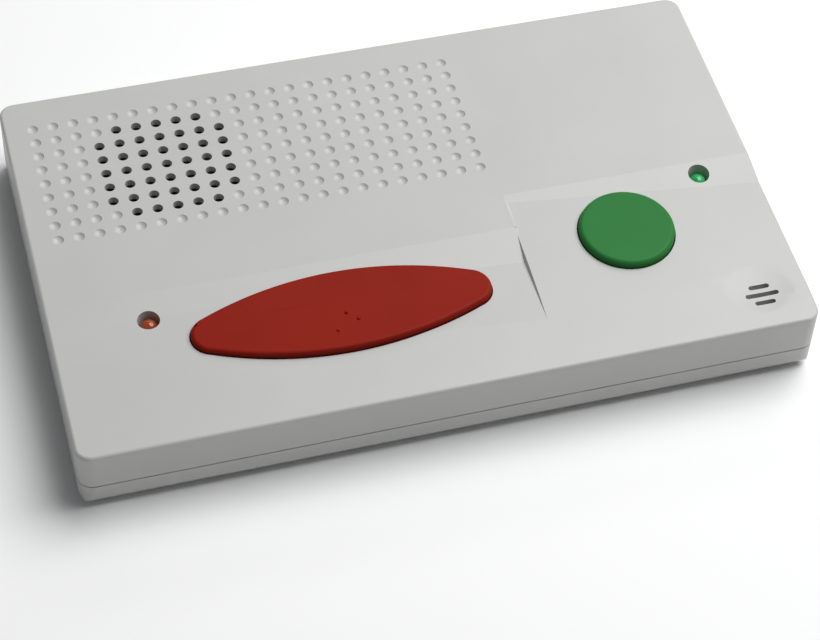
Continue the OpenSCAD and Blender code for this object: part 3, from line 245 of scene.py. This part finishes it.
def block_rows_tree():
    tree = bpy.data.node_groups.new("block_rows", "GeometryNodeTree")
    for name, kind, value in (
            ("Columns", "NodeSocketInt", 3), ("Rows", "NodeSocketInt", 4),
            ("Width over all", "NodeSocketFloat", 0.01), ("Depth over all", "NodeSocketFloat", 0.01),
            ("Centre", "NodeSocketVector", (0, 0, 0)), ("Block", "NodeSocketVector", (0.001, 0.001, 0.001))):
        tree_input(tree, name, kind, value)
    tree_input(tree, "Seed", "NodeSocketInt", 4)
    tree.interface.new_socket(name="Finish", in_out="INPUT", socket_type="NodeSocketMaterial")
    tree.interface.new_socket(name="Geometry", in_out="OUTPUT", socket_type="NodeSocketGeometry")
    start = tree.nodes.new("NodeGroupInput").outputs
    end = tree.nodes.new("NodeGroupOutput")
    grid = tree.nodes.new("GeometryNodeMeshGrid")
    tree.links.new(start["Width over all"], grid.inputs["Size X"])
    tree.links.new(start["Depth over all"], grid.inputs["Size Y"])
    tree.links.new(start["Columns"], grid.inputs["Vertices X"])
    tree.links.new(start["Rows"], grid.inputs["Vertices Y"])
    shift = tree.nodes.new("GeometryNodeSetPosition")
    tree.links.new(grid.outputs["Mesh"], shift.inputs["Geometry"])
    tree.links.new(start["Centre"], shift.inputs["Offset"])
    block = tree.nodes.new("GeometryNodeMeshCube")
    tree.links.new(start["Block"], block.inputs["Size"])
    askew = tree.nodes.new("FunctionNodeRandomValue")
    askew.data_type = "FLOAT_VECTOR"
    askew.inputs["Min"].default_value = (0, 0, -0.03)
    askew.inputs["Max"].default_value = (0, 0, 0.03)
    tree.links.new(start["Seed"], askew.inputs["Seed"])
    copies = tree.nodes.new("GeometryNodeInstanceOnPoints")
    tree.links.new(shift.outputs["Geometry"], copies.inputs["Points"])
    tree.links.new(block.outputs["Mesh"], copies.inputs["Instance"])
    tree.links.new(askew.outputs["Value"], copies.inputs["Rotation"])
    real = tree.nodes.new("GeometryNodeRealizeInstances")
    tree.links.new(copies.outputs["Instances"], real.inputs["Geometry"])
    dress = tree.nodes.new("GeometryNodeSetMaterial")
    tree.links.new(real.outputs["Geometry"], dress.inputs["Geometry"])
    tree.links.new(start["Finish"], dress.inputs["Material"])
    tree.links.new(dress.outputs["Geometry"], end.inputs["Geometry"])
    return tree


def grown(name, tree, values, mesh=None):
    seed = bpy.data.objects.new(name + "_seed", mesh or bpy.data.meshes.new(name + "_seed"))
    bpy.context.scene.collection.objects.link(seed)
    modifier = seed.modifiers.new("rows", "NODES")
    modifier.node_group = tree
    for item in tree.interface.items_tree:
        if item.item_type == "SOCKET" and item.in_out == "INPUT" and item.name in values:
            modifier[item.identifier] = values[item.name]
    bpy.context.view_layer.update()
    shape = bpy.data.meshes.new_from_object(seed.evaluated_get(bpy.context.evaluated_depsgraph_get()))
    shape.name = name
    bpy.data.objects.remove(seed)
    piece = bpy.data.objects.new(name, shape)
    bpy.context.scene.collection.objects.link(piece)
    return piece


solder = drawn_metal("solder", (0.50, 0.50, 0.51), (0.66, 0.66, 0.67), (0.20, 0.34), 1500, 0.00001)
part_body = moulded_plastic(
    "part_body", (0.012, 0.011, 0.011), (0.120, 0.080, 0.045), (0.40, 0.55), 3000, 0.000006, 0.2, 160)
board_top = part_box("main_board")[1].z
rows = block_rows_tree()
part_l, part_w, part_h = 0.0016, 0.0008, 0.0005
part_groups = (
    ("controller", 3, 4, 0.0080, 0.0096, 0.0140, -0.0300),
    ("amplifier", 2, 4, 0.0042, 0.0096, -0.0705, -0.0420),
    ("line", 3, 2, 0.0080, 0.0030, 0.0740, 0.0075))
end_l, end_w, end_h = part_l * 1.35, part_w * 0.96, part_h * 0.84
for name, columns, lines, wide, deep, x, y in part_groups:
    shared = {"Columns": columns, "Rows": lines, "Width over all": wide, "Depth over all": deep, "Seed": 4}
    bodies = grown(name + "_small_parts", rows, {
        **shared, "Finish": part_body,
        "Centre": (x, y, board_top + part_h / 2), "Block": (part_l, part_w, part_h)})
    ends = grown(name + "_small_part_ends", rows, {
        **shared, "Finish": solder,
        "Centre": (x, y, board_top + part_h * 0.42), "Block": (end_l, end_w, end_h)})
    for piece, slot in ((bodies, "black_plastic"), (ends, "tinned_wire")):
        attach(piece, "case")


def solder_domes_tree():
    tree = bpy.data.node_groups.new("solder_domes", "GeometryNodeTree")
    tree.interface.new_socket(name="Geometry", in_out="INPUT", socket_type="NodeSocketGeometry")
    tree_input(tree, "Radius", "NodeSocketFloat", 0.0009)
    tree_input(tree, "Height", "NodeSocketFloat", 0.0008)
    tree_input(tree, "Seed", "NodeSocketInt", 7)
    tree.interface.new_socket(name="Finish", in_out="INPUT", socket_type="NodeSocketMaterial")
    tree.interface.new_socket(name="Geometry", in_out="OUTPUT", socket_type="NodeSocketGeometry")
    start = tree.nodes.new("NodeGroupInput").outputs
    end = tree.nodes.new("NodeGroupOutput")
    dome = tree.nodes.new("GeometryNodeMeshCone")
    tip_radius = 0.00032
    dome.inputs["Vertices"].default_value = 14
    dome.inputs["Side Segments"].default_value = 3
    tree.links.new(start["Radius"], dome.inputs["Radius Bottom"])
    tree.links.new(start["Height"], dome.inputs["Depth"])
    dome.inputs["Radius Top"].default_value = tip_radius
    size = tree.nodes.new("FunctionNodeRandomValue")
    size.data_type = "FLOAT"
    size.inputs[2].default_value = 0.9
    size.inputs[3].default_value = 1.1
    tree.links.new(start["Seed"], size.inputs["Seed"])
    flip = tree.nodes.new("FunctionNodeInputVector")
    half_turn = 3.14159265
    flip.vector = (half_turn, 0, 0)
    copies = tree.nodes.new("GeometryNodeInstanceOnPoints")
    tree.links.new(start["Geometry"], copies.inputs["Points"])
    tree.links.new(dome.outputs["Mesh"], copies.inputs["Instance"])
    tree.links.new(flip.outputs["Vector"], copies.inputs["Rotation"])
    tree.links.new(size.outputs[1], copies.inputs["Scale"])
    real = tree.nodes.new("GeometryNodeRealizeInstances")
    tree.links.new(copies.outputs["Instances"], real.inputs["Geometry"])
    dress = tree.nodes.new("GeometryNodeSetMaterial")
    tree.links.new(real.outputs["Geometry"], dress.inputs["Geometry"])
    tree.links.new(start["Finish"], dress.inputs["Material"])
    tree.links.new(dress.outputs["Geometry"], end.inputs["Geometry"])
    return tree


leg_places = []
contact_pitch, contact_rows, front_row = 0.00127, 0.0025, 0.0022
jack_legs = (0.0015, 0.0075)
header_reach = 0.00125
relay_from_edge, relay_columns, relay_reach = 0.0037, (0.0017, 0.0133), 0.0027
for socket in ("line_socket", "phone_socket"):
    low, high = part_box(socket)
    middle = (low.x + high.x) / 2
    leg_places += [
        (middle + contact_pitch * (step - 1.5), low.y + front_row + contact_rows * (step % 2))
        for step in range(4)]
low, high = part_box("power_jack")
leg_places += [((low.x + high.x) / 2, low.y + back) for back in jack_legs]
for header in ("battery_header", "speaker_header"):
    low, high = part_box(header)
    leg_places += [((low.x + high.x) / 2 + side * header_reach, (low.y + high.y) / 2) for side in (-1, 1)]
low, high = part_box("line_relays")
for y in (low.y + relay_from_edge, high.y - relay_from_edge):
    leg_places += [(low.x + across, y + side * relay_reach) for across in relay_columns for side in (-1, 1)]
board_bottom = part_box("main_board")[0].z
legs = bpy.data.meshes.new("leg_places")
legs.from_pydata([(x, y, board_bottom) for x, y in leg_places], [], [])
dome_size = {"Radius": 0.0009, "Height": 0.0008, "Seed": 7, "Finish": solder}
solder_joints = grown("solder_joints", solder_domes_tree(), dome_size, legs)
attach(solder_joints, "case")

# ---- Chips, capacitors, relays and transformer ----
# The chips are black epoxy with tinned legs, the relays orange moulded boxes, and the line transformer
# is taped wire on a ferrite core. The varistor is a disc dipped in blue resin.
chip_epoxy = moulded_plastic(
    "chip_epoxy", (0.012, 0.012, 0.013), (0.020, 0.020, 0.021), (0.45, 0.60), 2600, 0.00002, 0.4, 120)
finish_as(
    chip_epoxy, "microcontroller", "memory_chip", "line_interface_chip",
    "speaker_amplifier", "voltage_regulator")
can_aluminium = drawn_metal(
    "can_aluminium", (0.62, 0.63, 0.64), (0.78, 0.79, 0.80), (0.18, 0.32), 500, 0.000005, (1, 1, 0.1))
finish_as(can_aluminium, "crystal", "electrolytic_capacitors", "microphone_capsule")
blue_resin = moulded_plastic(
    "blue_resin", (0.015, 0.060, 0.280), (0.025, 0.090, 0.380), (0.15, 0.28), 350, 0.00006, 0.5, 120)
finish_as(blue_resin, "surge_varistor")
ferrite = moulded_plastic(
    "ferrite", (0.035, 0.035, 0.038), (0.070, 0.070, 0.075), (0.50, 0.72), 1800, 0.00003, 0.5, 260)
ferrite.node_tree.nodes["Principled BSDF"].inputs["Metallic"].default_value = 0.35
finish_as(ferrite, "line_transformer_core", "speaker_magnet")
coil_tape, tree, shader, place = plain_material("coil_tape")
windings = tree.nodes.new("ShaderNodeTexWave")
windings.bands_direction = "Y"
windings.inputs["Scale"].default_value = 260
windings.inputs["Distortion"].default_value = 1.5
tree.links.new(place, windings.inputs["Vector"])
shades(tree, windings.outputs["Fac"], (0.560, 0.330, 0.050), (0.720, 0.470, 0.100), shader.inputs["Base Color"])
relief(tree, windings.outputs["Fac"], 0.00004, 0.4, shader)
shader.inputs["Roughness"].default_value = 0.42
finish_as(coil_tape, "line_transformer_coil")
relay_plastic = moulded_plastic(
    "relay_plastic", (0.640, 0.250, 0.022), (0.720, 0.300, 0.034), (0.35, 0.45), 2000, 0.00001, 0.25, 60)
finish_as(relay_plastic, "line_relays")

# ---- Radio shield and aerial ----
# A folded tinplate lid covers the radio, and a short bent aerial of enamelled copper wire stands
# beside it. The loudspeaker's coil is wound from the same wire.
shield_tin = drawn_metal(
    "shield_tin", (0.50, 0.51, 0.50), (0.66, 0.67, 0.66), (0.28, 0.42), 260, 0.00001, (1, 0.3, 1))
finish_as(shield_tin, "radio_shield")
enamelled_copper = drawn_metal(
    "enamelled_copper", (0.480, 0.170, 0.070), (0.640, 0.260, 0.120), (0.18, 0.30), 1200, 0.00001)
enamelled_copper.node_tree.nodes["Principled BSDF"].inputs["Coat Weight"].default_value = 0.6
finish_as(enamelled_copper, "radio_aerial", "speaker_voice_coil")

# ---- Sockets, jack and power switch ----
# Two black telephone sockets with gold flashed contact wires, a barrel jack and a slide switch
# are soldered to the rear of the board and show through the rear wall.
finish_as(
    chip_epoxy, "line_socket", "phone_socket", "power_jack",
    "power_switch_body", "help_switch_body", "cancel_switch_body")
tinned_wire = drawn_metal("tinned_wire", (0.58, 0.58, 0.59), (0.74, 0.74, 0.75), (0.15, 0.28), 1500, 0.000005)
finish_as(tinned_wire, "power_jack_pin", "light_leads", "microphone_leads")
gold_contact = drawn_metal(
    "gold_contact", (0.70, 0.48, 0.16), (0.86, 0.63, 0.26), (0.15, 0.26), 1200, 0.000004)
finish_as(gold_contact, "socket_contacts")
switch_nylon = moulded_plastic(
    "switch_nylon", (0.600, 0.595, 0.560), (0.660, 0.655, 0.620), (0.40, 0.52), 1800, 0.00001, 0.25, 90)
finish_as(switch_nylon, "power_switch_knob", "help_switch_plunger", "cancel_switch_plunger", "light_spacers")

# ---- Alarm light and power light ----
# Each light is a 5 mm lamp of clear tinted resin, standing on its own legs below a hole in the top.
# The dome catches a small glint and its colour glows on the wall of the hole.


def tinted_resin(name, dark, light, glow):
    material, tree, shader, place = plain_material(name)
    shades(tree, noise(tree, place, 420, 2.0), dark, light, shader.inputs["Base Color"])
    spread(tree, noise(tree, place, 900), 0.04, 0.10, shader.inputs["Roughness"])
    shader.inputs["Transmission Weight"].default_value = 0.35
    shader.inputs["IOR"].default_value = 1.53
    shader.inputs["Emission Color"].default_value = (*glow, 1)
    shader.inputs["Emission Strength"].default_value = 0.10
    return material


amber_lens = tinted_resin("amber_lens", (0.300, 0.048, 0.012), (0.440, 0.090, 0.024), (0.40, 0.08, 0.02))
finish_as(amber_lens, "alarm_light")
green_lens = tinted_resin("green_lens", (0.020, 0.340, 0.090), (0.060, 0.560, 0.190), (0.03, 0.60, 0.14))
finish_as(green_lens, "power_light")

# ---- Microphone ----
# An electret capsule in a drawn aluminium can sits in a soft rubber boot under the slots.
# The can is dressed above with the other aluminium cans, and the boot is the rubber of the feet.
finish_as(foot_rubber, "microphone_boot")

# ---- Loudspeaker ----
# A 50 mm speaker: zinc plated pressed frame and yoke, black paper cone with a treated cloth surround
# and dust cap, held up against a foam gasket by three clips and screws.
zinc_plate = drawn_metal("zinc_plate", (0.46, 0.46, 0.47), (0.62, 0.62, 0.63), (0.28, 0.44), 420, 0.000008)
finish_as(
    zinc_plate, "speaker_frame", "speaker_yoke", "speaker_clips", "speaker_screws",
    "case_screws", "board_screws")
cone_paper = moulded_plastic(
    "cone_paper", (0.022, 0.021, 0.020), (0.050, 0.048, 0.045), (0.75, 0.92), 1100, 0.00006, 0.7, 480)
finish_as(cone_paper, "speaker_cone", "speaker_dust_cap")
foam = moulded_plastic(
    "foam", (0.020, 0.020, 0.020), (0.042, 0.042, 0.041), (0.85, 0.97), 1900, 0.00010, 0.8, 700)
finish_as(foam, "speaker_gasket", "speaker_surround")

# ---- Button springs ----
# Coil springs of drawn steel wire lift the two caps back after a press. Two stand under the long
# help button and one, wider, under the cancel button.
spring_steel = drawn_metal(
    "spring_steel", (0.42, 0.42, 0.44), (0.58, 0.58, 0.60), (0.20, 0.34), 1600, 0.000005)
finish_as(spring_steel, "help_button_springs", "cancel_button_spring")

# ---- Help button ----
# A long oval cap of deep red plastic with a fine matte texture, dished along its length.
# Its rim is rounded to the finger, and three tiny raised dots mark its middle.


def merged_copy(node, name):
    piece = bpy.data.objects.new(name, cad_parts[node].data.copy())
    bpy.context.scene.collection.objects.link(piece)
    shape = bmesh.new()
    shape.from_mesh(piece.data)
    bmesh.ops.remove_doubles(shape, verts=shape.verts, dist=0.000002)
    shape.normal_update()
    return piece, shape


def round_off(shape, edges, radius, steps):
    bmesh.ops.bevel(
        shape, geom=list(edges), offset=radius, offset_type="OFFSET", segments=steps, profile=0.5,
        affect="EDGES", clamp_overlap=False, loop_slide=True)


def settle(piece, shape, material):
    bmesh.ops.triangulate(shape, faces=shape.faces)
    shape.to_mesh(piece.data)
    shape.free()
    piece.data.materials.clear()
    piece.data.materials.append(material)
    weighted = piece.modifiers.new("even_shading", "WEIGHTED_NORMAL")
    weighted.keep_sharp = True
    weighted.weight = 80


def mark_creases(shape, steep, slight, long):
    for face in shape.faces:
        face.smooth = True
    for edge in shape.edges:
        if len(edge.link_faces) == 2:
            bend = edge.calc_face_angle(0)
            edge.smooth = not (bend > steep or bend > slight and edge.calc_length() > long)


red_plastic = moulded_plastic(
    "red_plastic", (0.245, 0.011, 0.004), (0.265, 0.013, 0.005), (0.46, 0.54), 2200, 0.000016, 0.35, 45, 0.08)
help_cap, shape = merged_copy("help_button", "help_cap")
mark_creases(shape, steep=0.6, slight=0.6, long=0)
cap_skirt_z = 0.0250
dots_middle, dots_clear = Vector((-0.026, -0.0339)), 0.0115
help_rim = [
    edge for edge in shape.edges if len(edge.link_faces) == 2
    and min(v.co.z for v in edge.verts) > cap_skirt_z
    and sorted(face.normal.z > 0.5 for face in edge.link_faces) == [False, True]
    and min(abs(face.normal.z) for face in edge.link_faces) < 0.1
    and edge.calc_length() > 0.0002
    and max((v.co.xy - dots_middle).length for v in edge.verts) > dots_clear]
round_off(shape, help_rim, 0.0011, 4)
settle(help_cap, shape, red_plastic)
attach(help_cap, "help_button")
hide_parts("help_button")

# ---- Cancel button ----
# A round flat cap of green plastic with the same fine texture and a wide rounded rim.
# It slides in a round well in the top shell.
green_plastic = moulded_plastic(
    "green_plastic", (0.024, 0.178, 0.038), (0.027, 0.192, 0.043), (0.40, 0.48), 2200, 0.000014, 0.30, 45, 0.11)
finish_as(green_plastic, "cancel_button")

# ---- Top shell ----
# The upper half of the case, in the same plastic as the lower: a flat rear part with the grille's
# dimples and sound holes, and two lower zones in front. Its outer edges are softly rounded.
top_shell, shape = merged_copy("top_case", "top_shell")
bmesh.ops.dissolve_limit(shape, angle_limit=0.003, verts=shape.verts, edges=shape.edges)
shape.normal_update()
mark_creases(shape, steep=0.6, slight=0.03, long=0.005)
outer_rim = []
half_w, half_d, corner_r = 0.1077, 0.06675, 0.0045
lowest_rim_z, rim_band = 0.0205, 0.0030
for edge in shape.edges:
    if len(edge.link_faces) != 2 or min(v.co.z for v in edge.verts) < lowest_rim_z:
        continue
    wall, top = sorted(edge.link_faces, key=lambda face: face.normal.z)
    middle = (edge.verts[0].co + edge.verts[1].co) / 2
    near_wall = max(abs(middle.x) - half_w + corner_r, abs(middle.y) - half_d + corner_r) > rim_band
    faces_out = wall.normal.dot(middle) > 0.03
    if abs(wall.normal.z) < 0.1 and top.normal.z > 0.8 and faces_out and near_wall:
        outer_rim.append(edge)
round_off(shape, outer_rim, 0.0009, 4)
settle(top_shell, shape, case_plastic)
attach(top_shell, "case")
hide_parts("top_case")
